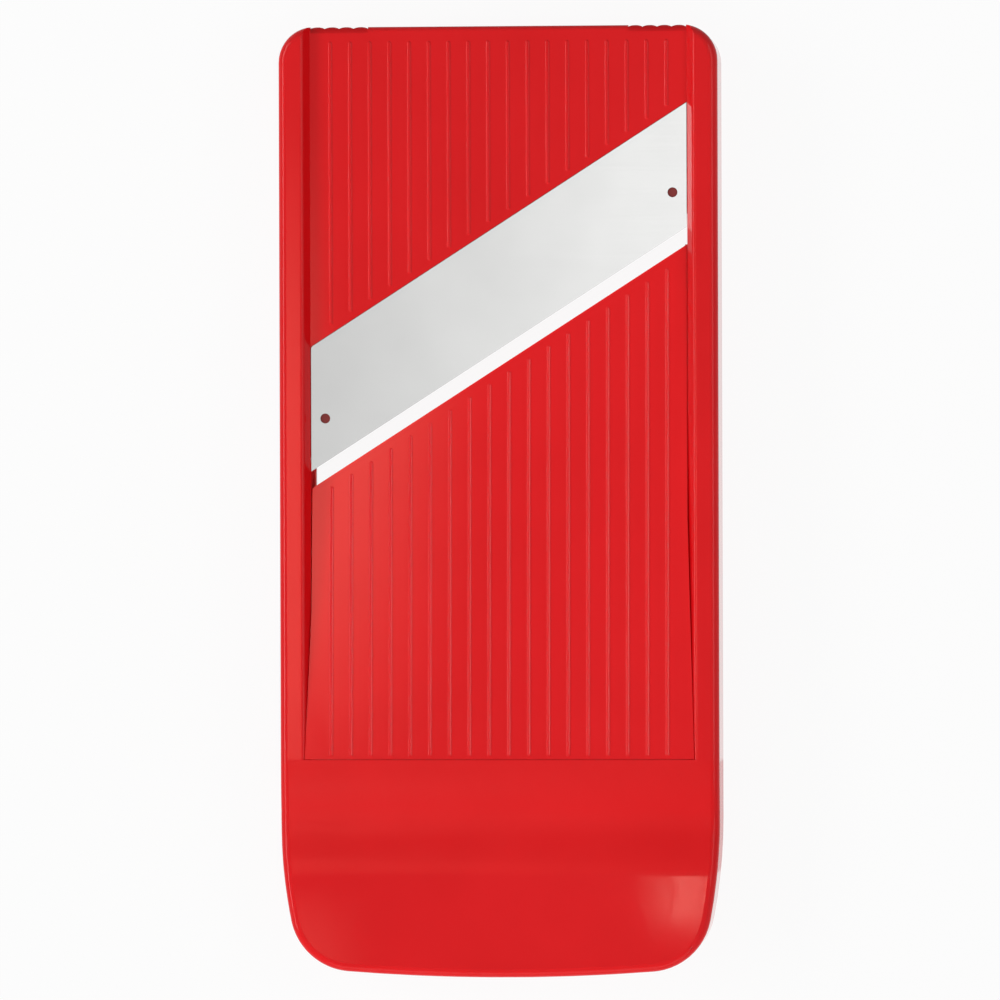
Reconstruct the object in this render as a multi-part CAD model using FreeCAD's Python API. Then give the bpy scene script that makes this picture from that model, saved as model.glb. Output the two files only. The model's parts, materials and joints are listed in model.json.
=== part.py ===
import FreeCAD, Part
import math
import os

# Hand-held mandoline slicer lying flat. Millimetres, +Z up, +Y to the far end,
# origin under the middle of the slicer on the surface that it rests on.

# Overall size and the plan outline
overall_length = 240.0
body_width = 111.0
body_height = 20.0
far_corner_radius = 9.0
side_bow_start = -80.0
side_bow_radius = 135.0
near_corner_radius = 16.0
near_bow_radius = 500.0
top_edge_round = 2.2

# Walls of the moulding
skirt_wall = 2.2
rail_inner_wall = 1.8
rail_top_thickness = 2.5
handle_thickness = 3.0
front_wall = 2.2

# Channel between the rails, and the outfeed deck in it
rail_width = 7.8
wall_draft_run = 1.6
wall_low_run = 0.3
rail_inner_round = 1.2
deck_drop = 3.0
deck_thickness = 3.2
deck_far_round = 1.2

# Thumb dip across the handle: its depth, the crest behind it and the fall to the end
dip_length = 14.0
dip_floor = 4.0
dip_depth = 1.2
crest_length = 25.5
crest_flat = 4.0
crest_drop = 0.3
end_drop = 1.2

# Ribs that the food slides on
rib_count = 18
rib_pitch = 5.0
rib_width = 1.0
rib_height = 0.25
rib_side = 0.08
rib_root = 0.6
rib_far_margin = 4.2
rib_blade_margin = 2.8
rib_throat_margin = 3.3
rib_hinge_margin = 1.2

# Blade and its pegs
blade_angle = 32.76
blade_edge_y = 38.4
blade_width = 26.4
blade_thickness = 1.2
blade_land = 0.15
blade_bevel = 2.5
blade_overhang = 3.0
blade_corner_round = 1.0
blade_clearance = 0.15
peg_wall_distance = 3.7
peg_back = 9.3
peg_radius = 1.2
peg_hole_clearance = 0.05
peg_recess = 0.3
peg_head_radius = 2.2
peg_head_height = 0.8

# Infeed ramp, its hinge and the throat in front of the blade
handle_front_y = -65.0
ramp_seam = 0.12
ramp_thickness = 2.4
ramp_spans = 4
ramp_side_clearance = 0.12
throat_width = 3.6
slice_thickness = 1.5
thinnest_slice = 0.5
thickest_slice = 3.0
hinge_back = 3.5
hinge_depth = 6.0
hinge_pin_radius = 1.5
hinge_running_clearance = 0.05
hinge_lug_radius = 3.0
hinge_lug_length = 9.0
hinge_boss_length = 2.0
pin_head_radius = 2.4
pin_head_height = 1.2
pin_head_gap = 0.2
lip_reach = 1.2
lip_gap = 0.35
lip_thickness = 1.2
lip_lug_gap = 0.17
ledge_reach = 0.9
ledge_gap = 0.3
ledge_thickness = 1.5
ledge_lug_gap = 1.0

# Thickness dial, the bridge that carries it and the cam above it
dial_y = -22.0
dial_sweep = 270.0
dial_radius = 17.0
dial_height = 4.2
dial_floor = 1.2
dial_scallops = 20
scallop_radius = 2.2
scallop_depth = 0.9
bridge_thickness = 2.5
bridge_top = 7.8
bridge_width = 30.0
bridge_end_gap = 1.2
bridge_corner_round = 3.0
washer_thickness = 0.25
washer_width = 3.0
axial_play = 0.05
cam_journal_radius = 6.0
cam_running_clearance = 0.05
cam_hub_radius = 8.0
cam_rim_radius = 14.0
cam_rim_thickness = 1.6
cam_rim_top = 12.4
cam_rim_margin = 25.0
cam_rim_steps = 32
cam_key_width = 8.0
cam_key_height = 2.0
key_clearance = 0.05
dial_screw_radius = 1.5
dial_screw_length = 8.0
screw_head_radius = 2.8
screw_head_height = 1.6
screw_washer_radius = 3.6
screw_washer_thickness = 0.5

# Cross slot in every screw head, as shares of the head and of the shank
slot_reach = 0.6
slot_share = 0.25

# Claw under the ramp that holds the cam's rim from above and below
claw_width = 6.0
claw_grip = 3.5
claw_gap = 0.2
claw_web = 3.0
claw_top = 14.6
claw_finger = 1.5
claw_ear = 5.0
claw_screw_radius = 1.1
claw_screw_head_radius = 2.0
claw_screw_head_height = 1.2
claw_screw_bite = 2.0

# Screws of the bridge and the frame's bosses for them
bridge_screw_radius = 1.4
bridge_screw_inset_x = 5.4
bridge_screw_spacing_y = 20.0
bridge_hole_clearance = 0.2
boss_size = 7.0
boss_height = 4.7
screw_bite = 3.7

# Click leaf on the dial's rim
leaf_thickness = 0.4
leaf_height = 3.2
leaf_length = 14.0
leaf_nose_radius = 1.5
leaf_nose_gap = 0.1
leaf_tab_width = 7.0
leaf_tab_length = 8.0

# Soft serrated feet in the far end wall
grip_wall_distance = 0.2
grip_bumps = 4
grip_pitch = 3.65
grip_bump_height = 0.45
grip_depth = 1.6

# Values worked out from the sizes above
near_y = -overall_length / 2
far_y = overall_length / 2
half_width = body_width / 2
channel_half = half_width - rail_width
low_half = channel_half - wall_low_run
peg_x = channel_half - peg_wall_distance
grip_x = channel_half - grip_wall_distance - grip_bumps * grip_pitch / 2
deck_top = body_height - deck_drop
deck_bottom = deck_top - deck_thickness
ramp_near_y = handle_front_y + ramp_seam
ramp_throat_z = deck_top - slice_thickness
hinge_y = handle_front_y + hinge_back
hinge_z = body_height - hinge_depth
bridge_bottom = bridge_top - bridge_thickness
dial_top = bridge_bottom - washer_thickness - axial_play
dial_bottom = dial_top - dial_height
slope = math.tan(math.radians(blade_angle))
lean = math.cos(math.radians(blade_angle))
throat_mid_y = blade_edge_y - throat_width / lean
lift_arm = throat_mid_y - hinge_y
tilt_up = math.degrees((slice_thickness - thinnest_slice) / lift_arm)
tilt_down = math.degrees((thickest_slice - slice_thickness) / lift_arm)
dial_per_tilt = dial_sweep / (tilt_up + tilt_down)
claw_y = dial_y + cam_rim_radius - claw_grip / 2
cam_lead = (claw_y - hinge_y) * math.radians(360.0 / dial_per_tilt)

# How far a cutting shape runs past what it cuts, and how close counts as touching
beyond = 5.0
touch = 0.01

V = FreeCAD.Vector
up = V(0, 0, 1)


def box(x0, x1, y0, y1, z0, z1):
    return Part.makeBox(x1 - x0, y1 - y0, z1 - z0, V(x0, y0, z0))


def rod(x, y, z0, z1, radius):
    return Part.makeCylinder(radius, z1 - z0, V(x, y, z0), up)


def cross_rod(x0, x1, y, z, radius):
    return Part.makeCylinder(radius, x1 - x0, V(x0, y, z), V(1, 0, 0))


def prism(points, direction):
    return Part.Face(Part.makePolygon(points + points[:1])).extrude(direction)


def throat_y(x):
    return throat_mid_y + x * slope


def to_blade(shape):
    """Turn a shape drawn along the cutting edge into its place across the channel."""
    shape.rotate(V(), up, blade_angle)
    shape.translate(V(0, blade_edge_y, 0))
    return shape


def arc_ends(centre, radius, start, end):
    middle = math.radians((start + end) / 2)
    angles = (math.radians(start), middle, math.radians(end))
    points = [centre + V(math.cos(a), math.sin(a), 0) * radius for a in angles]
    return Part.Arc(*points).toShape()


def near_corner_centre():
    """Centre of the arc that touches both the bowed side and the bowed near end."""
    side = V(half_width - side_bow_radius, side_bow_start, 0)
    end = V(0, near_y + near_bow_radius, 0)
    to_side = side_bow_radius - near_corner_radius
    to_end = near_bow_radius - near_corner_radius
    between = end - side
    span = between.Length
    along = (to_side ** 2 - to_end ** 2 + span ** 2) / (2 * span)
    across = math.sqrt(to_side ** 2 - along ** 2)
    unit = between / span
    return side + unit * along + V(unit.y, -unit.x, 0) * across, side, end


def outline(inset):
    """Plan outline of the body, drawn inwards by an even inset, right half then left half."""
    corner, side, end = near_corner_centre()
    to_side = math.degrees(math.atan2(corner.y - side.y, corner.x - side.x))
    to_end = math.degrees(math.atan2(corner.y - end.y, corner.x - end.x))
    far = V(half_width - far_corner_radius, far_y - far_corner_radius, 0)
    right = half_width - inset
    edges = [
        arc_ends(far, far_corner_radius - inset, 90, 0),
        Part.LineSegment(V(right, far.y, 0), V(right, side_bow_start, 0)).toShape(),
        arc_ends(side, side_bow_radius - inset, 0, to_side),
        arc_ends(corner, near_corner_radius - inset, to_side, to_end),
        arc_ends(end, near_bow_radius - inset, to_end, -90),
    ]
    mirrored = [edge.mirror(V(), V(1, 0, 0)) for edge in edges]
    top = Part.LineSegment(V(-far.x, far_y - inset, 0), V(far.x, far_y - inset, 0)).toShape()
    return Part.Wire(Part.__sortEdges__(edges + mirrored + [top]))


def plan_block(inset, z0, z1):
    face = Part.Face(outline(inset))
    face.translate(V(0, 0, z0))
    return face.extrude(V(0, 0, z1 - z0))


def handle_top_cut():
    """What lies above the handle: a thumb dip, a crest behind it and a gentle fall to the end."""
    dip = handle_front_y - dip_length
    crest = handle_front_y - crest_length
    poles = [
        V(0, handle_front_y, body_height),
        V(0, handle_front_y - dip_length / 2, body_height),
        V(0, dip, body_height - dip_depth),
        V(0, dip - dip_floor, body_height - dip_depth),
        V(0, crest, body_height - crest_drop),
        V(0, crest - crest_flat, body_height - crest_drop),
        V(0, near_y - beyond, body_height - end_drop),
    ]
    curve = Part.BSplineCurve()
    curve.buildFromPoles(poles)
    above = body_height + beyond
    lid = [poles[-1], V(0, poles[-1].y, above), V(0, handle_front_y, above), poles[0]]
    face = Part.Face(Part.Wire([curve.toShape()] + Part.makePolygon(lid).Edges))
    face.translate(V(-half_width - beyond, 0, 0))
    return face.extrude(V(body_width + 2 * beyond, 0, 0))


def wall_corner():
    """How far a rail's inner edge round reaches along the rail's top and down the leaning wall."""
    wall = math.atan2(deck_drop, wall_draft_run)
    reach = rail_inner_round * math.tan(wall / 2)
    half_turn = V(math.sin(wall / 2), 0, math.cos(wall / 2))
    centre = V(reach, 0, -rail_inner_round)
    foot = V(-reach * math.cos(wall), 0, -reach * math.sin(wall))
    crown = centre + V(-half_turn.x, 0, half_turn.z) * rail_inner_round
    return V(reach, 0, 0), crown, foot


def channel_cut(side_gap, y0, y1, floor, rounded):
    """Space between the rails: leaning in down to the deck, less so below it, with rounded top edges."""
    middle = channel_half - side_gap
    low = middle - wall_low_run * (deck_top - floor) / (deck_top - bridge_top)
    corner = V(middle + wall_draft_run, y0, body_height)
    knee = V(middle, y0, deck_top)
    sides = []
    for mirror in (1, -1):
        def at(point):
            return V(mirror * point.x, y0, point.z)
        chain = [at(knee), at(V(low, y0, floor))] if floor < deck_top else [at(knee)]
        if rounded:
            start, crown, foot = (corner + point for point in wall_corner())
            edges = [Part.makeLine(at(start + V(0, 0, beyond)), at(start)),
                     Part.Arc(at(start), at(crown), at(foot)).toShape()]
            chain.insert(0, at(foot))
        else:
            edges = [Part.makeLine(at(corner + V(0, 0, beyond)), at(corner))]
            chain.insert(0, at(corner))
        edges += Part.makePolygon(chain).Edges
        sides.append((edges, edges[0].Vertexes[0].Point, chain[-1]))
    (right, right_top, right_foot), (left, left_top, left_foot) = sides
    links = [Part.makeLine(right_foot, left_foot), Part.makeLine(left_top, right_top)]
    wire = Part.Wire(Part.sortEdges(right + left + links)[0])
    return Part.Face(wire).extrude(V(0, y1 - y0, 0))


def rib_section(half):
    """Half or whole cross-section of a rib in the XZ plane, with short upright sides."""
    crown = rib_height - rib_side
    radius = (rib_width ** 2 / 4 + crown ** 2) / (2 * crown)
    centre = rib_height - radius
    shoulder = V(rib_width / 2, 0, rib_side)
    foot = V(rib_width / 2, 0, -rib_root)
    top = V(0, 0, rib_height)
    middle = V(rib_width / 4, 0, centre + math.sqrt(radius ** 2 - rib_width ** 2 / 16))
    if half:
        arc = Part.Arc(shoulder, middle, top).toShape()
        rest = [top, V(0, 0, -rib_root), foot, shoulder]
    else:
        left = V(-shoulder.x, 0, rib_side)
        arc = Part.Arc(shoulder, top, left).toShape()
        rest = [left, V(-foot.x, 0, -rib_root), foot, shoulder]
    return Part.Face(Part.Wire([arc] + Part.makePolygon(rest).Edges))


def rib(start, end):
    """Low rounded bead with round ends along a line in the deck's surface."""
    bar = rib_section(False)
    bar.translate(start)
    bar = bar.extrude(end - start)
    cap = rib_section(True).revolve(V(), up, 360)
    ends = [cap.translated(start), cap.translated(end)]
    return bar.fuse(ends).removeSplitter()


def rib_places():
    return [rib_pitch * (k - (rib_count - 1) / 2) for k in range(rib_count)]


def before_blade(back, z0, z1):
    """Everything on the handle's side of a line parallel to the cutting edge."""
    reach = overall_length
    return to_blade(box(-reach, reach, -reach, back, z0, z1))


def grip_profile():
    """Plan of a serrated foot: a pad with one shallow arc for each bump, flush with the end wall."""
    half = grip_bumps * grip_pitch / 2
    dip = far_y - grip_bump_height
    edges = []
    for k in range(grip_bumps):
        x0 = -half + k * grip_pitch
        x1 = x0 + grip_pitch
        crest = V((x0 + x1) / 2, far_y, 0)
        edges.append(Part.Arc(V(x0, dip, 0), crest, V(x1, dip, 0)).toShape())
    back = far_y - grip_depth
    rest = [V(half, dip, 0), V(half, back, 0), V(-half, back, 0), V(-half, dip, 0)]
    return Part.Face(Part.Wire(edges + Part.makePolygon(rest).Edges))


def end_grip(side, shell):
    """Soft foot let into the end wall, with its top rounded as the wall's is."""
    pad = grip_profile().extrude(V(0, 0, body_height))
    pad.translate(V(side * grip_x, 0, 0))
    return pad.common(shell)


def grip_pocket(side):
    half = grip_bumps * grip_pitch / 2
    x = side * grip_x
    return box(x - half, x + half, far_y - grip_depth, far_y + beyond, -beyond, body_height)


def body_blank():
    block = plan_block(0, 0, body_height).cut(handle_top_cut()).removeSplitter()
    rim = [edge for edge in block.Edges if min(v.Z for v in edge.Vertexes) > body_height / 2
           and on_outline(edge)]
    return block.makeFillet(top_edge_round, rim)


def on_outline(edge):
    """True for the edges that run along the top of the outer walls."""
    middle = edge.valueAt((edge.FirstParameter + edge.LastParameter) / 2)
    flat = V(middle.x, middle.y, 0)
    return outline(0).distToShape(Part.Vertex(flat))[0] < touch


def body_hollows():
    """Underside spaces: the low tray, the middle, both rails and the handle."""
    inside = plan_block(skirt_wall, -beyond, body_height)
    far_inside = far_y - skirt_wall
    pocket_in = channel_half + rail_inner_wall
    pocket_top = body_height - rail_top_thickness
    tray = plan_block(skirt_wall, -beyond, bridge_top)
    middle = box(-low_half, low_half, handle_front_y, far_inside, bridge_top, deck_bottom)
    handle = inside.common(box(-half_width, half_width, near_y, handle_front_y - front_wall,
                               0, body_height - handle_thickness - dip_depth))
    rails = [inside.common(box(x0, x1, handle_front_y, far_y, 0, pocket_top))
             for x0, x1 in ((pocket_in, half_width), (-half_width, -pocket_in))]
    return [tray, middle, handle] + rails


def hinge_boss(side):
    """Boss behind the rail's inner wall that the hinge pin is pressed into."""
    x0 = channel_half
    x1 = channel_half + rail_inner_wall + hinge_boss_length
    boss = cross_rod(x0, x1, hinge_y, hinge_z, hinge_lug_radius)
    return boss if side > 0 else boss.mirror(V(), V(1, 0, 0))


def seam_lips():
    """Lips on the handle's front wall that close the seam before the ramp from below."""
    top = body_height - ramp_thickness - lip_gap
    back = handle_front_y - front_wall / 2
    between = channel_half - ramp_side_clearance - hinge_lug_length - lip_gap
    middle = box(-between, between, back, ramp_near_y + lip_reach, top - lip_thickness, top)
    narrow = box(-channel_half, channel_half, back, hinge_y - hinge_lug_radius - lip_lug_gap,
                 top - lip_thickness, top)
    return [middle, narrow]


def ramp_ledge(side):
    """Ledge on a rail's inner wall, just below the lowest place of the ramp's edge."""
    x = side * channel_half
    start_y = hinge_y + hinge_lug_radius + ledge_lug_gap
    end_y = throat_y(x)
    drop = math.tan(math.radians(tilt_down))
    line = [V(0, y, ramp_surface(x, y).z - ramp_thickness - ledge_gap - (y - hinge_y) * drop)
            for y in (start_y, end_y)]
    if side < 0:
        line.append(V(0, end_y + throat_width / lean + blade_overhang, line[1].z))
    under = [point - V(0, 0, ledge_thickness) for point in reversed(line)]
    inner = channel_half - ledge_reach
    outer = channel_half + rail_inner_wall / 2
    x0, x1 = (inner, outer) if side > 0 else (-outer, -inner)
    bar = prism(line + under, V(x1 - x0, 0, 0))
    bar.translate(V(x0, 0, 0))
    return bar


def bridge_screw_places():
    x = channel_half - bridge_screw_inset_x
    y = bridge_screw_spacing_y / 2
    return [V(sx * x, dial_y + sy * y, 0) for sx in (-1, 1) for sy in (-1, 1)]


def bridge_boss(place):
    half = boss_size / 2
    wall = channel_half + rail_inner_wall / 2
    inner = abs(place.x) - half
    x0, x1 = (inner, wall) if place.x > 0 else (-wall, -inner)
    return box(x0, x1, place.y - half, place.y + half, bridge_top, bridge_top + boss_height)


def peg_places():
    return [V(x, blade_edge_y + x * slope + peg_back / lean, 0) for x in (-peg_x, peg_x)]


def outfeed_ribs():
    blade_back = blade_edge_y + blade_width / lean
    ribs = []
    for x in rib_places():
        start = V(x, blade_back + x * slope + rib_blade_margin, deck_top)
        ribs.append(rib(start, V(x, far_y - rib_far_margin, deck_top)))
    return ribs


def body_shell():
    """Outer form with the channel and the deck in it, still solid underneath."""
    shell = body_blank().cut(channel_cut(0, handle_front_y, far_y + beyond, deck_top, True))
    far_edges = [edge for edge in shell.Edges
                 if all(abs(v.Y - far_y) < touch and abs(v.Z - deck_top) < touch for v in edge.Vertexes)]
    return shell.makeFillet(deck_far_round, far_edges)


def body_frame(shell):
    body = shell.cut(body_hollows())
    ramp_room = channel_cut(0, handle_front_y, far_y, bridge_top, True)
    body = body.cut(ramp_room.common(before_blade(blade_overhang, 0, body_height + beyond)))
    seat = box(-channel_half, channel_half, handle_front_y, far_y, deck_top - blade_thickness,
               deck_top + beyond)
    back = blade_width + blade_clearance
    seat = seat.common(before_blade(back, 0, body_height + beyond))
    body = body.cut(seat)
    additions = [hinge_boss(side) for side in (-1, 1)]
    additions += [bridge_boss(place) for place in bridge_screw_places()]
    additions += seam_lips() + [ramp_ledge(side) for side in (-1, 1)]
    body = body.fuse(additions + outfeed_ribs())
    holes = [grip_pocket(side) for side in (-1, 1)]
    reach = channel_half + rail_inner_wall + hinge_boss_length
    holes += [cross_rod(x0, x1, hinge_y, hinge_z, hinge_pin_radius)
              for x0, x1 in ((low_half, reach), (-reach, -low_half))]
    holes += [rod(p.x, p.y, bridge_top, bridge_top + screw_bite, bridge_screw_radius)
              for p in bridge_screw_places()]
    holes += [rod(p.x, p.y, deck_bottom, deck_top, peg_radius) for p in peg_places()]
    return body.cut(holes)


def blade():
    top = deck_top
    reach = body_width
    section = [
        V(-reach, 0, top),
        V(-reach, blade_width, top),
        V(-reach, blade_width, top - blade_thickness),
        V(-reach, blade_bevel, top - blade_thickness),
        V(-reach, 0, top - blade_land),
    ]
    plate = to_blade(prism(section, V(2 * reach, 0, 0)))
    half = channel_half - blade_clearance
    plate = plate.common(box(-half, half, near_y, far_y, 0, body_height))
    left_back = V(-half, blade_edge_y + blade_width / lean - half * slope, 0)
    corner = [edge for edge in plate.Edges
              if all(abs(v.X - left_back.x) + abs(v.Y - left_back.y) < touch for v in edge.Vertexes)]
    plate = plate.makeFillet(blade_corner_round, corner)
    radius = peg_radius + peg_hole_clearance
    return plate.cut([rod(p.x, p.y, 0, body_height, radius) for p in peg_places()])


def blade_pegs():
    pegs = []
    for p in peg_places():
        shank = rod(p.x, p.y, deck_bottom, deck_top - peg_recess, peg_radius)
        head = rod(p.x, p.y, deck_bottom - peg_head_height, deck_bottom, peg_head_radius)
        pegs.append(shank.fuse(head).removeSplitter())
    return Part.makeCompound(pegs)


def twisted_face(corners):
    """Smooth face through straight lines that join two opposite straight edges."""
    near_left, near_right, far_right, far_left = corners
    rows = []
    for i in range(ramp_spans + 1):
        near = near_left + (near_right - near_left) * (i / ramp_spans)
        far = far_left + (far_right - far_left) * (i / ramp_spans)
        rows.append([near + (far - near) * (j / ramp_spans) for j in range(ramp_spans + 1)])
    surface = Part.BSplineSurface()
    surface.interpolate(rows)
    return surface.toShape()


def closed_solid(faces):
    shell = Part.Shell(faces)
    shell.sewShape()
    solid = Part.Solid(shell)
    solid.fix(1e-6, 1e-6, 1e-6)
    return solid


def ramp_plate():
    """Plate whose surface runs straight from the handle to the slanting throat, twisting a little."""
    hinge = [V(x, ramp_near_y, body_height) for x in (-half_width, half_width)]
    front = [V(x, throat_y(x), ramp_throat_z) for x in (half_width, -half_width)]
    corners = hinge + front
    lower = [point - V(0, 0, ramp_thickness) for point in corners]
    faces = [twisted_face(corners), twisted_face(lower)]
    for k in range(4):
        n = (k + 1) % 4
        faces.append(Part.Face(Part.makePolygon([corners[k], corners[n], lower[n], lower[k], corners[k]])))
    return closed_solid(faces)


def ramp_surface(x, y):
    share = (y - ramp_near_y) / (throat_y(x) - ramp_near_y)
    return V(x, y, body_height + share * (ramp_throat_z - body_height))


def ramp_ribs():
    ribs = []
    for x in rib_places():
        start = ramp_surface(x, ramp_near_y + rib_hinge_margin)
        ribs.append(rib(start, ramp_surface(x, throat_y(x) - rib_throat_margin)))
    return ribs


def hinge_lug(side):
    x1 = channel_half - ramp_side_clearance
    x0 = x1 - hinge_lug_length
    eye = cross_rod(x0, x1, hinge_y, hinge_z, hinge_lug_radius)
    stem_top = body_height - ramp_thickness / 2
    stem = box(x0, x1, hinge_y - hinge_lug_radius, hinge_y + hinge_lug_radius, hinge_z, stem_top)
    lug = eye.fuse(stem)
    return lug if side > 0 else lug.mirror(V(), V(1, 0, 0))


def claw_screw_places():
    x = claw_width / 2 + claw_ear / 2
    y = dial_y + cam_rim_radius + claw_gap + claw_web / 2
    return [V(sx * x, y, 0) for sx in (-1, 1)]


def claw_plan():
    """Plan rectangle of the claw's top plate, ears included."""
    y0 = dial_y + cam_rim_radius - claw_grip
    y1 = dial_y + cam_rim_radius + claw_gap + claw_web
    half = claw_width / 2 + claw_ear
    return half, y0, y1


def infeed_ramp():
    half, y0, y1 = claw_plan()
    pad = box(-half, half, y0, y1, claw_top, ramp_surface(0, y1).z - ramp_thickness / 2)
    ramp = ramp_plate().fuse([hinge_lug(side) for side in (-1, 1)] + [pad])
    for tilt in (tilt_down, -tilt_up):
        space = channel_cut(ramp_side_clearance, near_y, far_y, 0, False)
        space.rotate(V(0, hinge_y, hinge_z), V(1, 0, 0), tilt)
        ramp = ramp.common(space)
    ramp = ramp.fuse(ramp_ribs())
    bore = hinge_pin_radius + hinge_running_clearance
    holes = [cross_rod(-half_width, half_width, hinge_y, hinge_z, bore)]
    holes += [rod(p.x, p.y, claw_top, claw_top + claw_screw_bite, claw_screw_radius)
              for p in claw_screw_places()]
    return ramp.cut(holes)


def hinge_pins():
    lug_inner = channel_half - ramp_side_clearance - hinge_lug_length
    head_face = lug_inner - pin_head_gap
    tip = channel_half + rail_inner_wall + hinge_boss_length
    shank = cross_rod(head_face, tip, hinge_y, hinge_z, hinge_pin_radius)
    head = cross_rod(head_face - pin_head_height, head_face, hinge_y, hinge_z, pin_head_radius)
    pin = shank.fuse(head).removeSplitter()
    return Part.makeCompound([pin, pin.mirror(V(), V(1, 0, 0))])


def helix_point(radius, angle, top):
    """Point of the cam's rim: it climbs as the angle falls, and is at its set height over the claw."""
    turn = math.radians(angle)
    return V(radius * math.cos(turn), dial_y + radius * math.sin(turn),
             top - cam_lead * (angle - 90.0) / 360.0)


def helix_edge(radius, first, last, top):
    steps = cam_rim_steps
    angles = [first + (last - first) * k / steps for k in range(steps + 1)]
    curve = Part.BSplineCurve()
    curve.interpolate([helix_point(radius, a, top) for a in angles])
    return curve.toShape()


def cam_rim():
    """Helical rim: top and bottom wind at the same lead, so its thickness is even."""
    first = 90.0 - tilt_up * dial_per_tilt - cam_rim_margin
    last = 90.0 + tilt_down * dial_per_tilt + cam_rim_margin
    inner = cam_hub_radius - cam_rim_thickness / 2
    tops = [helix_edge(r, first, last, cam_rim_top) for r in (inner, cam_rim_radius)]
    lows = [helix_edge(r, first, last, cam_rim_top - cam_rim_thickness) for r in (inner, cam_rim_radius)]
    pairs = [tops, lows, (tops[0], lows[0]), (tops[1], lows[1])]
    faces = [Part.makeRuledSurface(a, b) for a, b in pairs]
    for angle in (first, last):
        quad = [helix_point(r, angle, z) for r, z in (
            (inner, cam_rim_top), (cam_rim_radius, cam_rim_top),
            (cam_rim_radius, cam_rim_top - cam_rim_thickness), (inner, cam_rim_top - cam_rim_thickness))]
        faces.append(Part.Face(Part.makePolygon(quad + quad[:1])))
    return closed_solid(faces)


def lift_cam():
    first = 90.0 - tilt_up * dial_per_tilt - cam_rim_margin
    hub_top = helix_point(cam_rim_radius, first, cam_rim_top).z
    hub = rod(0, dial_y, bridge_top + axial_play, hub_top, cam_hub_radius)
    journal = rod(0, dial_y, dial_top, bridge_top + axial_play, cam_journal_radius)
    half = cam_key_width / 2
    key = box(-half, half, dial_y - half, dial_y + half, dial_top - cam_key_height, dial_top)
    bore = rod(0, dial_y, 0, dial_top - cam_key_height + dial_screw_length, dial_screw_radius)
    return cam_rim().fuse([hub, journal, key]).cut(bore)


def thickness_dial():
    disc = rod(0, dial_y, dial_bottom, dial_top, dial_radius)
    scallops = []
    for k in range(dial_scallops):
        turn = 2 * math.pi * k / dial_scallops
        reach = dial_radius + scallop_radius - scallop_depth
        scallops.append(rod(reach * math.cos(turn), dial_y + reach * math.sin(turn),
                            0, bridge_bottom, scallop_radius))
    half = cam_key_width / 2 + key_clearance
    socket = box(-half, half, dial_y - half, dial_y + half, dial_top - cam_key_height, dial_top)
    screw_hole = rod(0, dial_y, 0, dial_top, dial_screw_radius)
    recess = rod(0, dial_y, 0, dial_bottom + dial_floor, screw_washer_radius + key_clearance)
    return disc.cut(scallops + [socket, screw_hole, recess])


def screw(x, y, seat, length, radius, head_radius, head_height):
    """Round-headed screw driven upwards, with its head under the seat and a cross slot in it."""
    shank = rod(x, y, seat, seat + length, radius)
    head = rod(x, y, seat - head_height, seat, head_radius)
    arm = head_radius * slot_reach
    slot = radius * slot_share
    depth = head_height / 2
    low = seat - head_height
    cross = [box(x - arm, x + arm, y - slot, y + slot, low, low + depth),
             box(x - slot, x + slot, y - arm, y + arm, low, low + depth)]
    return shank.fuse(head).cut(cross).removeSplitter()


def dial_screw():
    seat = dial_bottom + dial_floor - screw_washer_thickness
    tip = dial_top - cam_key_height + dial_screw_length
    return screw(0, dial_y, seat, tip - seat, dial_screw_radius, screw_head_radius,
                 seat - dial_bottom + dial_floor / 2)


def washer(z0, z1, inner, outer):
    return rod(0, dial_y, z0, z1, outer).cut(rod(0, dial_y, z0, z1, inner))


def dial_washer():
    seat = dial_bottom + dial_floor
    return washer(seat - screw_washer_thickness, seat, dial_screw_radius, screw_washer_radius)


def spring_washer():
    inner = cam_journal_radius + key_clearance
    return washer(dial_top, dial_top + washer_thickness, inner, inner + washer_width)


def leaf_screw_place():
    x = dial_radius - scallop_depth + leaf_nose_gap + leaf_nose_radius + leaf_tab_length / 2
    return V(x, dial_y - leaf_length + leaf_tab_width / 2, 0)


def dial_bridge():
    half = channel_half - bridge_end_gap
    plate = box(-half, half, dial_y - bridge_width / 2, dial_y + bridge_width / 2,
                bridge_bottom, bridge_top)
    corners = [edge for edge in plate.Edges if abs(edge.Vertexes[0].Z - edge.Vertexes[1].Z) > 1]
    plate = plate.makeFillet(bridge_corner_round, corners)
    radius = cam_journal_radius + cam_running_clearance
    holes = [rod(0, dial_y, 0, bridge_top, radius)]
    holes += [rod(p.x, p.y, 0, bridge_top, bridge_screw_radius + bridge_hole_clearance)
              for p in bridge_screw_places()]
    leaf = leaf_screw_place()
    holes.append(rod(leaf.x, leaf.y, 0, bridge_top, claw_screw_radius))
    return plate.cut(holes)


def bridge_screws():
    length = bridge_thickness + screw_bite
    return Part.makeCompound([screw(p.x, p.y, bridge_bottom, length, bridge_screw_radius,
                                    screw_head_radius, screw_head_height)
                              for p in bridge_screw_places()])


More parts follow.
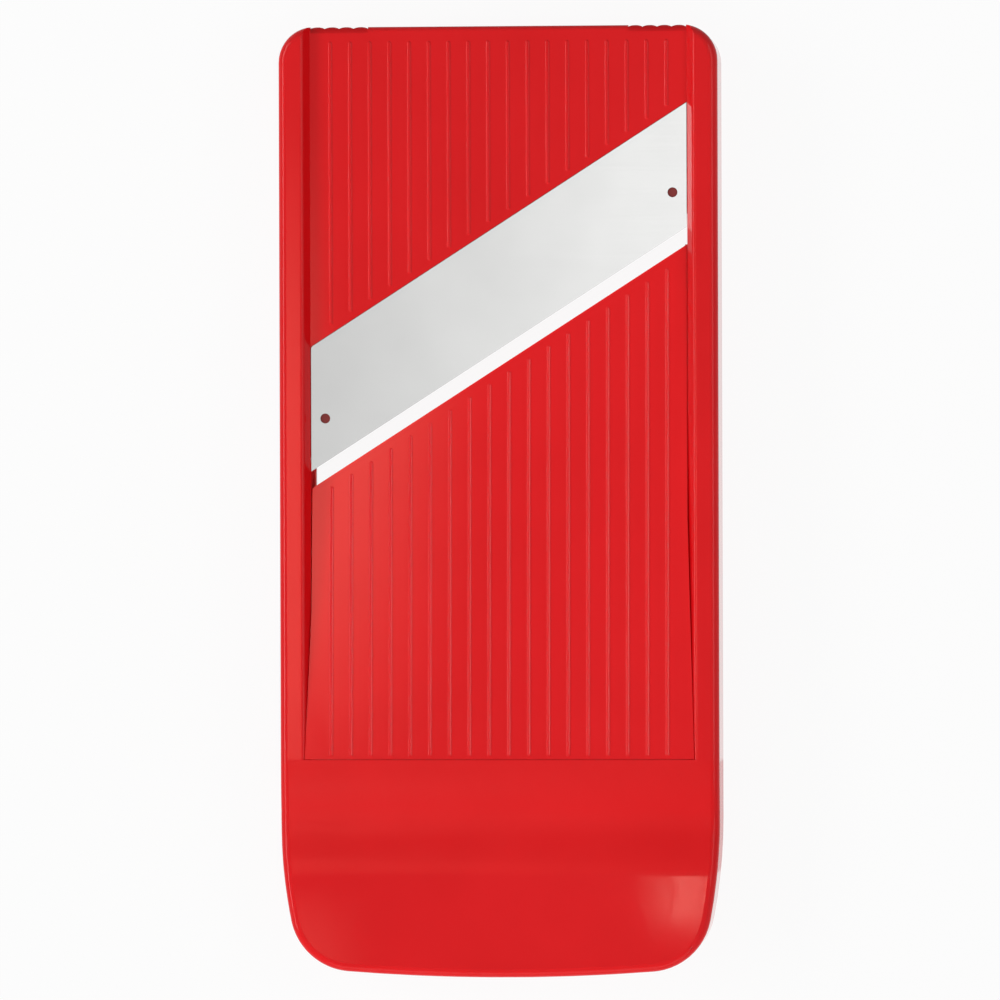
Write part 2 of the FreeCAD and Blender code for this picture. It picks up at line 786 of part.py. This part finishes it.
def detent_spring():
    """Leaf that stands on edge beside the dial, with a round nose in one scallop."""
    place = leaf_screw_place()
    nose_x = dial_radius - scallop_depth + leaf_nose_gap + leaf_nose_radius
    tab = box(nose_x, nose_x + leaf_tab_length, dial_y - leaf_length,
              dial_y - leaf_length + leaf_tab_width, bridge_bottom - leaf_thickness, bridge_bottom)
    strip = box(nose_x, nose_x + leaf_thickness, dial_y - leaf_length, dial_y + leaf_nose_radius,
                bridge_bottom - leaf_thickness - leaf_height, bridge_bottom)
    low = bridge_bottom - leaf_thickness - leaf_height
    nose = rod(nose_x, dial_y, low, low + leaf_height, leaf_nose_radius)
    nose = nose.common(box(0, nose_x, dial_y - beyond, dial_y + beyond, 0, bridge_bottom))
    strip = strip.cut(box(nose_x - beyond, nose_x + beyond, dial_y - leaf_length + leaf_tab_width,
                          dial_y + beyond, low + leaf_height, bridge_bottom))
    hole = rod(place.x, place.y, 0, bridge_bottom, claw_screw_radius)
    return tab.fuse([strip, nose]).cut(hole).removeSplitter()


def detent_screw():
    place = leaf_screw_place()
    seat = bridge_bottom - leaf_thickness
    return screw(place.x, place.y, seat, leaf_thickness + bridge_thickness, claw_screw_radius,
                 claw_screw_head_radius, claw_screw_head_height)


def cam_claw():
    half, y0, y1 = claw_plan()
    rim_out = dial_y + cam_rim_radius + claw_gap
    upper_low = cam_rim_top + claw_gap
    lower_top = cam_rim_top - cam_rim_thickness - claw_gap
    low = lower_top - claw_finger
    tongue = claw_width / 2
    upper = box(-tongue, tongue, y0, y1, upper_low, claw_top)
    web = box(-tongue, tongue, rim_out, y1, low, claw_top)
    lower = box(-tongue, tongue, y0, y1, low, lower_top)
    ears = box(-half, half, rim_out, y1, claw_top - claw_finger, claw_top)
    holes = [rod(p.x, p.y, 0, claw_top, claw_screw_radius) for p in claw_screw_places()]
    return upper.fuse([web, lower, ears]).removeSplitter().cut(holes)


def claw_screws():
    return Part.makeCompound([screw(p.x, p.y, claw_top - claw_finger, claw_finger + claw_screw_bite,
                                    claw_screw_radius, claw_screw_head_radius, claw_screw_head_height)
                              for p in claw_screw_places()])


shell = body_shell()
nodes = {
    "body_frame": body_frame(shell),
    "infeed_ramp": infeed_ramp(),
    "blade": blade(),
    "blade_pegs": blade_pegs(),
    "end_grip_left": end_grip(-1, shell),
    "end_grip_right": end_grip(1, shell),
    "hinge_pins": hinge_pins(),
    "dial_bridge": dial_bridge(),
    "bridge_screws": bridge_screws(),
    "thickness_dial": thickness_dial(),
    "lift_cam": lift_cam(),
    "dial_screw": dial_screw(),
    "dial_washer": dial_washer(),
    "spring_washer": spring_washer(),
    "cam_claw": cam_claw(),
    "claw_screws": claw_screws(),
    "detent_spring": detent_spring(),
    "detent_screw": detent_screw(),
}

os.makedirs("parts", exist_ok=True)
for name, shape in nodes.items():
    shape.exportStep("parts/" + name + ".step")
    print(name, shape.isValid(), len(shape.Solids), round(shape.Volume, 1))
print("tilt up", round(tilt_up, 4), "down", round(tilt_down, 4), "dial per tilt", round(dial_per_tilt, 4))
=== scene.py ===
import json
import math

import bpy
from mathutils import Matrix, Vector


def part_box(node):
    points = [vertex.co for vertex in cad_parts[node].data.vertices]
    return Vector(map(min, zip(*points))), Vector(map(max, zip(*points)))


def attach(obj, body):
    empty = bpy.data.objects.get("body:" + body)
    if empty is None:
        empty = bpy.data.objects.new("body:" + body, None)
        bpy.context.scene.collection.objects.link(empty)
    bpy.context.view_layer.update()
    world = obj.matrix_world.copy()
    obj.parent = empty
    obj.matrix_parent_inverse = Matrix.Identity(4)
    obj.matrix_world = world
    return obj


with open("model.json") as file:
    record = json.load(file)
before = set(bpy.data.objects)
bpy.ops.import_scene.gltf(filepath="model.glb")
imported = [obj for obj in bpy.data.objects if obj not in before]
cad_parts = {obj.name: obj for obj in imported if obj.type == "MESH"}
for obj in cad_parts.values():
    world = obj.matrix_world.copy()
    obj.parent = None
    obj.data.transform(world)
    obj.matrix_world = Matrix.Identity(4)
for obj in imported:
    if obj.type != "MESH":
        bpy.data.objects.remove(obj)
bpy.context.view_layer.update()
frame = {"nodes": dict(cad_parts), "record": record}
nodes = frame["nodes"]

noiseLow, noiseHigh = 0.3, 0.7  # most of a noise texture's values lie between these


def startMaterial(name, look):
    mat = bpy.data.materials.new(name)
    mat.use_nodes = True
    shader = mat.node_tree.nodes["Principled BSDF"]
    for socket, value in look.items():
        shader.inputs[socket].default_value = value
    return mat, mat.node_tree, shader


def placeVector(tree, scale=(1, 1, 1), turn=(0, 0, 0)):
    coords = tree.nodes.new("ShaderNodeTexCoord")
    mapping = tree.nodes.new("ShaderNodeMapping")
    mapping.inputs["Scale"].default_value = scale
    mapping.inputs["Rotation"].default_value = turn
    tree.links.new(coords.outputs["Object"], mapping.inputs["Vector"])
    return mapping.outputs["Vector"]


def addNoise(tree, vector, perMetre, detail, rough=0.5):
    tex = tree.nodes.new("ShaderNodeTexNoise")
    tex.inputs["Scale"].default_value = perMetre
    tex.inputs["Detail"].default_value = detail
    tex.inputs["Roughness"].default_value = rough
    tree.links.new(vector, tex.inputs["Vector"])
    return tex.outputs["Fac"]


def addMath(tree, operation, *values):  # each value is a number or another node's output
    node = tree.nodes.new("ShaderNodeMath")
    node.operation = operation
    for socket, value in zip(node.inputs, values):
        if isinstance(value, bpy.types.NodeSocket):
            tree.links.new(value, socket)
        else:
            socket.default_value = value
    return node.outputs[0]


def spread(tree, fac, low, high, fromLow=noiseLow, fromHigh=noiseHigh):
    remap = tree.nodes.new("ShaderNodeMapRange")
    remap.inputs["From Min"].default_value = fromLow
    remap.inputs["From Max"].default_value = fromHigh
    remap.inputs["To Min"].default_value = low
    remap.inputs["To Max"].default_value = high
    tree.links.new(fac, remap.inputs["Value"])
    return remap.outputs["Result"]


def colourByNoise(tree, shader, fac, look):
    mix = tree.nodes.new("ShaderNodeMix")
    mix.data_type = "RGBA"
    mix.inputs["A"].default_value = (*look["deep"], 1)
    mix.inputs["B"].default_value = (*look["light"], 1)
    tree.links.new(spread(tree, fac, 0, 1), mix.inputs["Factor"])
    tree.links.new(mix.outputs["Result"], shader.inputs["Base Color"])


def glossByNoise(tree, fac, look):
    return spread(tree, fac, look["glossLow"], look["glossHigh"])


def addBump(tree, shader, height, depth):
    bump = tree.nodes.new("ShaderNodeBump")
    bump.inputs["Distance"].default_value = depth
    bump.inputs["Strength"].default_value = 1.0
    tree.links.new(height, bump.inputs["Height"])
    tree.links.new(bump.outputs["Normal"], shader.inputs["Normal"])


redPlasticLook = {
    "ior": 1.5, "shine": 0.15,
    "deep": (0.65, 0.0040, 0.0065), "light": (0.69, 0.0055, 0.0085),
    "flowPerMetre": 35, "flowDetail": 3,
    "grainPerMetre": 2600, "grainDetail": 2, "grainDepth": 0.0000012,
    "glossLow": 0.025, "glossHigh": 0.045,
    "dipY": -0.0795, "dipFull": 0.0135, "dipEnd": 0.0150, "dipSatin": 0.17,
}


def addDipSatin(tree, rough, look):  # the dip in the handle is worn a little duller
    coords = tree.nodes.new("ShaderNodeTexCoord")
    axes = tree.nodes.new("ShaderNodeSeparateXYZ")
    tree.links.new(coords.outputs["Object"], axes.inputs[0])
    reach = addMath(tree, "ABSOLUTE", addMath(tree, "SUBTRACT", axes.outputs["Y"], look["dipY"]))
    satin = spread(tree, reach, look["dipSatin"], 0.0, look["dipFull"], look["dipEnd"])
    return addMath(tree, "ADD", rough, satin)


def redPlastic(look):
    mat, tree, shader = startMaterial("red_gloss_plastic", {"IOR": look["ior"], "Specular IOR Level": look["shine"]})
    vector = placeVector(tree)
    flow = addNoise(tree, vector, look["flowPerMetre"], look["flowDetail"])  # slow streaks of the melt
    grain = addNoise(tree, vector, look["grainPerMetre"], look["grainDetail"])
    colourByNoise(tree, shader, flow, look)
    tree.links.new(addDipSatin(tree, glossByNoise(tree, grain, look), look), shader.inputs["Roughness"])
    addBump(tree, shader, grain, look["grainDepth"])
    return mat


bladeLook = {
    "deep": (0.50, 0.50, 0.495), "light": (0.53, 0.53, 0.525), "glossLow": 0.17, "glossHigh": 0.20,
    "angle": math.radians(32.76), "along": 40, "across": 2600,  # grinding lines, per metre
    "lineDetail": 4, "lineRough": 0.6, "lineDepth": 0.00000002,
    "cloudPerMetre": 45, "cloudDetail": 2,
}


def bladeSteel(look):
    mat, tree, shader = startMaterial("satin_blade_steel", {"Metallic": 1.0})
    vector = placeVector(tree, (look["along"], look["across"], look["across"]), (0, 0, -look["angle"]))
    lines = addNoise(tree, vector, 1.0, look["lineDetail"], look["lineRough"])
    cloud = addNoise(tree, placeVector(tree), look["cloudPerMetre"], look["cloudDetail"])
    colourByNoise(tree, shader, cloud, look)
    tree.links.new(glossByNoise(tree, lines, look), shader.inputs["Roughness"])
    addBump(tree, shader, lines, look["lineDepth"])
    return mat


steelGrain = {
    "grainPerMetre": 3500, "grainDetail": 3, "grainDepth": 0.000002, "cloudPerMetre": 300, "cloudDetail": 2,
    "shader": {"Metallic": 1.0},
}
screwSteelLook = {
    **steelGrain, "deep": (0.50, 0.50, 0.51), "light": (0.60, 0.60, 0.60), "glossLow": 0.22, "glossHigh": 0.34,
}
springSteelLook = {
    **steelGrain, "deep": (0.40, 0.40, 0.42), "light": (0.48, 0.48, 0.49), "glossLow": 0.28, "glossHigh": 0.42,
}
mattGrain = {
    "grainPerMetre": 1800, "grainDetail": 3, "grainDepth": 0.00001, "cloudPerMetre": 120, "cloudDetail": 2,
    "shader": {"IOR": 1.48, "Specular IOR Level": 0.5},
}
gripLook = {
    **mattGrain, "deep": (0.64, 0.0040, 0.0065), "light": (0.68, 0.0055, 0.0085), "glossLow": 0.16,
    "glossHigh": 0.24, "grainPerMetre": 2400, "grainDepth": 0.000002,
    "shader": {"IOR": 1.48, "Specular IOR Level": 0.16},
}
# painted shade: the pegs are the body's red plastic darkened well below its red, standing in for the shade inside
# the blade's holes
pegShadeLook = {
    **mattGrain, "deep": (0.20, 0.016, 0.014), "light": (0.26, 0.022, 0.018), "glossLow": 0.42, "glossHigh": 0.56,
}
dialLook = {
    **mattGrain, "deep": (0.045, 0.045, 0.05), "light": (0.065, 0.065, 0.07), "glossLow": 0.45, "glossHigh": 0.6,
}
acetalLook = {
    **mattGrain, "deep": (0.76, 0.75, 0.72), "light": (0.82, 0.81, 0.79), "glossLow": 0.36, "glossHigh": 0.48,
}


def grainyFinish(name, look):
    mat, tree, shader = startMaterial(name, look["shader"])
    grain = addNoise(tree, placeVector(tree), look["grainPerMetre"], look["grainDetail"])
    cloud = addNoise(tree, placeVector(tree), look["cloudPerMetre"], look["cloudDetail"])
    colourByNoise(tree, shader, cloud, look)
    tree.links.new(glossByNoise(tree, grain, look), shader.inputs["Roughness"])
    addBump(tree, shader, grain, look["grainDepth"])
    return mat


finishes = {
    "red_plastic": redPlastic(redPlasticLook),
    "blade_steel": bladeSteel(bladeLook),
    "pin_steel": grainyFinish("bright_screw_steel", screwSteelLook),
    "spring_steel": grainyFinish("plain_spring_steel", springSteelLook),
    "soft_red": grainyFinish("soft_red_grip", gripLook),
    "peg_plastic": grainyFinish("peg_red_painted_shade", pegShadeLook),
    "dial_plastic": grainyFinish("dial_dark", dialLook),
    "cam_plastic": grainyFinish("natural_acetal", acetalLook),
}
for part in frame["record"]["subparts"]:
    piece = nodes[part["node"]]
    if not piece.material_slots:
        piece.data.materials.append(finishes[part["material_slot"]])
    for place in piece.material_slots:
        place.material = finishes[part["material_slot"]]
print("finishes:", len(finishes))


def deselectAll():
    bpy.ops.object.select_all(action="DESELECT")


def bakePlace(piece):
    deselectAll()
    piece.select_set(True)
    bpy.context.view_layer.objects.active = piece
    bpy.ops.object.transform_apply(location=True, rotation=True, scale=True)


def bevelActive(offset, segments):
    bpy.ops.object.mode_set(mode="EDIT")
    bpy.ops.mesh.select_all(action="SELECT")
    bpy.ops.mesh.bevel(offset=offset, segments=segments)
    bpy.ops.object.mode_set(mode="OBJECT")


dialMarks = {
    "settings": (0.5, 1.0, 1.5, 2.0, 2.5, 3.0), "atRest": 1.5,
    "turnPerMillimetre": math.radians(108), "pointerAt": math.radians(180),
    "numberRadius": 0.0106, "numberSize": 0.0034, "curveSteps": 5,
    "tickIn": 0.0134, "tickOut": 0.0153, "tickWidth": 0.0006,
    "proud": 0.00012, "sunk": 0.00006, "bevel": 0.00005, "bevelSteps": 2, "weld": 0.000001,
}


def makeNumber(look, setting, place, facing):
    deselectAll()
    bpy.ops.object.text_add(location=place, rotation=facing)
    number = bpy.context.object
    number.data.body = "%.1f" % setting
    number.data.align_x, number.data.align_y = "CENTER", "CENTER"
    number.data.size = look["numberSize"]
    number.data.extrude = (look["proud"] + look["sunk"]) / 2
    number.data.resolution_u = look["curveSteps"]
    bpy.ops.object.convert(target="MESH")
    bakePlace(bpy.context.object)
    return bpy.context.object


def makeTick(look, place, facing):
    deselectAll()
    bpy.ops.mesh.primitive_cube_add(size=1, location=place, rotation=facing)
    tick = bpy.context.object
    tick.scale = (look["tickWidth"], look["tickOut"] - look["tickIn"], look["proud"] + look["sunk"])
    bakePlace(tick)
    bevelActive(look["bevel"], look["bevelSteps"])
    return tick


def makeDialMarks():
    look = dialMarks
    low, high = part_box("thickness_dial")
    centre = Vector(((low[0] + high[0]) / 2, (low[1] + high[1]) / 2, low[2] + (look["sunk"] - look["proud"]) / 2))
    tickRadius = (look["tickIn"] + look["tickOut"]) / 2
    made = []
    for setting in look["settings"]:
        angle = look["pointerAt"] + look["turnPerMillimetre"] * (setting - look["atRest"])
        outward = Vector((math.cos(angle), math.sin(angle), 0))
        reading = Vector((-math.sin(angle), math.cos(angle), 0))
        facing = Matrix((reading, outward, Vector((0, 0, -1)))).transposed().to_euler()  # read from below
        made.append(makeNumber(look, setting, centre + outward * look["numberRadius"], facing))
        made.append(makeTick(look, centre + outward * tickRadius, facing))
    deselectAll()
    for piece in made:
        piece.select_set(True)
    bpy.context.view_layer.objects.active = made[0]
    bpy.ops.object.join()
    marks = bpy.context.object
    marks.name = "dial_marks"
    bpy.ops.object.mode_set(mode="EDIT")
    bpy.ops.mesh.select_all(action="SELECT")
    bpy.ops.mesh.remove_doubles(threshold=look["weld"])
    bpy.ops.mesh.normals_make_consistent(inside=False)
    bpy.ops.object.mode_set(mode="OBJECT")
    bakePlace(marks)
    marks.data.materials.clear()
    marks.data.materials.append(finishes["cam_plastic"])
    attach(marks, "dial")


settingPointer = {
    "tip": -0.0190, "size": 0.0019, "proud": 0.00035, "sunk": 0.0001, "turn": math.radians(-90),
    "bevel": 0.00012, "bevelSteps": 3, "smoothBelow": math.radians(40),
}


def makeSettingPointer():
    look = settingPointer
    dialLow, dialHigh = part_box("thickness_dial")
    bridgeLow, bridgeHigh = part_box("dial_bridge")
    place = (look["tip"] - look["size"], (dialLow[1] + dialHigh[1]) / 2,
             bridgeLow[2] + (look["sunk"] - look["proud"]) / 2)
    deselectAll()
    bpy.ops.mesh.primitive_cylinder_add(vertices=3, radius=look["size"], depth=look["proud"] + look["sunk"],
                                        location=place, rotation=(0, 0, look["turn"]))
    pointer = bpy.context.object
    pointer.name = "setting_pointer"
    bevelActive(look["bevel"], look["bevelSteps"])
    bpy.ops.object.shade_smooth_by_angle(angle=look["smoothBelow"])
    bakePlace(pointer)
    pointer.data.materials.append(finishes["cam_plastic"])
    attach(pointer, "frame")


makeDialMarks()
makeSettingPointer()
print("dial marks and pointer made")


cameraLook = {
    "target": (0.00020, 0.00043, 0.017), "distance": 2.105, "lens": 300.5, "sensor": 36.0, "clipEnd": 20,
    "tiltX": math.radians(4.5), "tiltY": math.radians(0.13), "roll": math.radians(-0.18),
}


def addCamera(look):
    lean = (math.sin(look["tiltX"]), math.sin(look["tiltY"]))
    away = Vector((*lean, math.sqrt(1 - lean[0] ** 2 - lean[1] ** 2)))
    bpy.ops.object.camera_add(location=Vector(look["target"]) + away * look["distance"])
    camera = bpy.context.object
    camera.data.lens = look["lens"]
    camera.data.sensor_width = look["sensor"]
    camera.data.clip_end = look["clipEnd"]
    across = Vector((0, 1, 0)).cross(away).normalized()  # the picture's right, with +Y up in it
    upward = away.cross(across)
    cosine, sine = math.cos(look["roll"]), math.sin(look["roll"])
    across, upward = across * cosine + upward * sine, upward * cosine - across * sine
    camera.rotation_euler = Matrix((across, upward, away)).transposed().to_euler()
    bpy.context.scene.camera = camera


plainWhite = (1.0, 1.0, 1.0)
redGlow, deepGlow, warmGlow = (1.0, 0.40, 0.31), (1.0, 0.26, 0.20), (1.0, 0.52, 0.42)
middle = (0.0, 0.0, 0.0)
softboxes = {  # one with no aim faces straight down, and one that lights a piece is flagged to it alone
    "left_key": {"place": (-2.00, 0.25, 1.30), "aim": middle, "size": (2.4, 0.60), "glow": 6.1},
    "right_fill": {"place": (1.60, 0.30, 1.70), "aim": middle, "size": (1.6, 0.80), "glow": 2.1},
    "near_fill": {"place": (0.20, -2.00, 0.85), "aim": middle, "size": (2.4, 1.0), "glow": 1.2,
                  "lights": "body_frame"},
    "ramp_fill": {"place": (0.90, 0.30, 1.90), "aim": middle, "size": (0.8, 0.8), "glow": 6.2,
                  "lights": "infeed_ramp"},
    "rail_panel": {"place": (-0.56, -0.02, 2.40), "size": (0.56, 0.50), "glow": 12.6, "tint": deepGlow,
                   "falloff": (0.015, 0.20), "lights": "body_frame"},
    "ramp_panel": {"place": (-0.455, 0.106, 2.40), "size": (0.40, 0.84), "glow": 9.6, "tint": redGlow,
                   "falloff": (0.10, 0.25), "lights": "infeed_ramp", "turn": math.radians(31.8)},
    "handle_patch": {"place": (-0.43, -0.60, 2.43), "size": (0.34, 0.60), "glow": 6.5, "tint": redGlow,
                     "falloff": (0.04, 0.14), "lights": "body_frame"},
    "handle_card": {"place": (-0.0905, -0.311, 2.43), "size": (0.028, 0.14), "glow": 16.5, "tint": warmGlow,
                    "falloff": (0.006, 0.03), "lights": "body_frame"},
    "corner_glint": {"place": (1.10, -1.40, 1.30), "aim": (0.045, -0.11, 0.0), "size": (0.20, 0.12), "glow": 66.0,
                     "lights": "body_frame"},
    "under_fill": {"place": (0.50, -0.30, -1.60), "aim": middle, "size": (1.6, 1.6), "glow": 1.5},
    "blade_card": {"place": (0.22, 0.20, 2.46), "size": (0.82, 1.0), "glow": 0.92, "lights": "blade"},
}


def softenEdges(lamp, size, falloff):
    lamp.data.use_nodes = True
    tree = lamp.data.node_tree
    surface = tree.nodes.new("ShaderNodeNewGeometry")
    axes = tree.nodes.new("ShaderNodeSeparateXYZ")
    tree.links.new(surface.outputs["Parametric"], axes.inputs[0])
    shares = []
    for axis in (0, 1):  # nearness to the closer edge on each axis, eased to full brightness
        along = axes.outputs[axis]
        near = addMath(tree, "MINIMUM", along, addMath(tree, "SUBTRACT", 1.0, along))
        ease = tree.nodes.new("ShaderNodeMapRange")
        ease.interpolation_type = "SMOOTHSTEP"
        ease.inputs["From Max"].default_value = falloff[axis] / size[axis]
        tree.links.new(near, ease.inputs["Value"])
        shares.append(ease.outputs["Result"])
    tree.links.new(addMath(tree, "MULTIPLY", *shares), tree.nodes["Emission"].inputs["Strength"])


def addSoftbox(name, box):
    place, size = box["place"], box["size"]
    aim = box.get("aim", (place[0], place[1], 0.0))
    bpy.ops.object.light_add(type="AREA", location=place)
    lamp = bpy.context.object
    lamp.name = name
    lamp.data.shape = "RECTANGLE"
    lamp.data.size, lamp.data.size_y = size
    lamp.data.energy = box["glow"] * math.pi * size[0] * size[1]
    lamp.data.color = box.get("tint", plainWhite)
    lamp.rotation_euler = (Vector(place) - Vector(aim)).to_track_quat("Z", "Y").to_euler()
    lamp.rotation_euler.rotate_axis("Z", box.get("turn", 0.0))
    if "falloff" in box:
        softenEdges(lamp, size, box["falloff"])
    if "lights" in box:
        lit = bpy.data.collections.new(name + "_lights")
        lit.objects.link(nodes[box["lights"]])
        lamp.light_linking.receiver_collection = lit


def raysThatSeeWhite(tree, path):
    shiny = addMath(tree, "MAXIMUM", path.outputs["Is Glossy Ray"], path.outputs["Is Transmission Ray"])
    return addMath(tree, "MAXIMUM", path.outputs["Is Camera Ray"], shiny)


def mixShaders(tree, fac, first, second):
    mix = tree.nodes.new("ShaderNodeMixShader")
    for socket, value in zip(mix.inputs, (fac, first, second)):
        tree.links.new(value, socket)
    return mix.outputs[0]


floorLook = {"size": 6.0, "height": -0.0002, "colour": (0.86, 0.86, 0.86, 1), "rough": 0.9, "shine": 0.93}


def addFloor(look):
    bpy.ops.mesh.primitive_plane_add(size=look["size"], location=(0, 0, look["height"]))
    floor = bpy.context.object
    floor.name = "studio_floor"
    mat, tree, shader = startMaterial("studio_white", {"Base Color": look["colour"], "Roughness": look["rough"]})
    glow = tree.nodes.new("ShaderNodeEmission")
    path = tree.nodes.new("ShaderNodeLightPath")
    share = addMath(tree, "MULTIPLY", raysThatSeeWhite(tree, path), look["shine"])  # the rest keeps the shadow
    top = mixShaders(tree, share, shader.outputs[0], glow.outputs[0])
    under = tree.nodes.new("ShaderNodeNewGeometry")
    clear = tree.nodes.new("ShaderNodeBsdfTransparent")
    passing = addMath(tree, "MAXIMUM", under.outputs["Backfacing"], path.outputs["Is Shadow Ray"])
    both = mixShaders(tree, passing, top, clear.outputs[0])  # clear from below, to show the underside
    tree.links.new(both, tree.nodes["Material Output"].inputs["Surface"])
    floor.data.materials.append(mat)


skyLook = {"towards": (-0.25, -0.90, 0.36), "low": 0.03, "high": 0.88, "lowAt": -0.2, "highAt": 1.0}


def setSky(look):
    world = bpy.context.scene.world or bpy.data.worlds.new("studio_sky")
    bpy.context.scene.world = world
    world.use_nodes = True
    tree = world.node_tree
    tree.nodes.clear()
    out = tree.nodes.new("ShaderNodeOutputWorld")
    coords = tree.nodes.new("ShaderNodeTexCoord")
    facing = tree.nodes.new("ShaderNodeVectorMath")
    facing.operation = "DOT_PRODUCT"
    facing.inputs[1].default_value = look["towards"]
    tree.links.new(coords.outputs["Generated"], facing.inputs[0])
    level = spread(tree, facing.outputs["Value"], look["low"], look["high"], look["lowAt"], look["highAt"])
    soft = tree.nodes.new("ShaderNodeBackground")
    white = tree.nodes.new("ShaderNodeBackground")
    for background in (soft, white):
        background.inputs["Color"].default_value = (1, 1, 1, 1)
    tree.links.new(level, soft.inputs["Strength"])
    path = tree.nodes.new("ShaderNodeLightPath")
    sky = mixShaders(tree, raysThatSeeWhite(tree, path), soft.outputs[0], white.outputs[0])
    tree.links.new(sky, out.inputs["Surface"])


deselectAll()
addCamera(cameraLook)
addFloor(floorLook)
setSky(skyLook)
for name, box in softboxes.items():
    addSoftbox(name, box)
bpy.context.scene.view_settings.view_transform = "Standard"
print("studio set")
